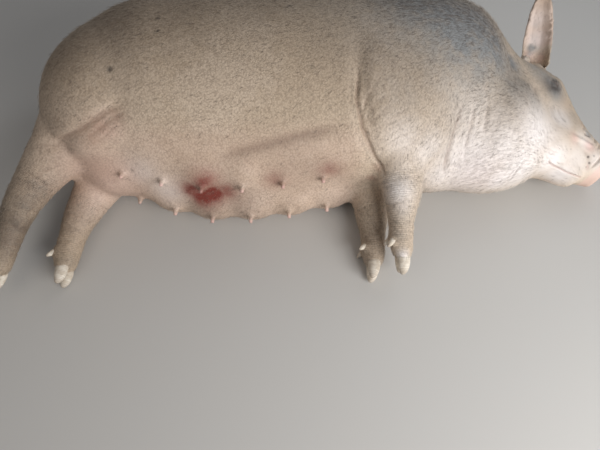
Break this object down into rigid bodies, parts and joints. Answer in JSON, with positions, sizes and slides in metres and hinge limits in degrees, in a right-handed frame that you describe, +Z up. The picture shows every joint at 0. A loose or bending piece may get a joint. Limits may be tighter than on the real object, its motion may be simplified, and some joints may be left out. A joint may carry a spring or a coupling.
{
  "type": "sow lying on her side",
  "caption": "Life-size still model of a pale domestic sow lying stretched out on her left side with legs, udder and teats to one side, head turned down, one ear raised.",
  "frame": {"origin": "middle of the outline seen from above, on the floor she lies on", "axes": "+X towards her head, +Y towards her back, +Z up out of the floor towards her right side"},
  "size_m": [1.4184, 0.7544, 0.3632],
  "materials": {
    "skin": "matte pale pinkish skin under short bristles",
    "horn": "satin horn",
    "eye": "wet gloss"
  },
  "bodies": {
    "root": {"head": "skin", "neck": "skin", "torso": "skin", "udder": "skin", "tail": "skin", "leg_fore_right": "skin", "leg_fore_left": "skin", "leg_hind_right": "skin", "leg_hind_left": "skin", "ear_right": "skin", "ear_left": "skin", "eye_right": "eye", "eye_left": "eye", "claw_fore_right_inner": "horn", "dewclaw_fore_right_inner": "horn", "claw_fore_right_outer": "horn", "dewclaw_fore_right_outer": "horn", "claw_fore_left_inner": "horn", "dewclaw_fore_left_inner": "horn", "claw_fore_left_outer": "horn", "dewclaw_fore_left_outer": "horn", "claw_hind_right_inner": "horn", "dewclaw_hind_right_inner": "horn", "claw_hind_right_outer": "horn", "dewclaw_hind_right_outer": "horn", "claw_hind_left_inner": "horn", "dewclaw_hind_left_inner": "horn", "claw_hind_left_outer": "horn", "dewclaw_hind_left_outer": "horn"}
  },
  "joints": []
}
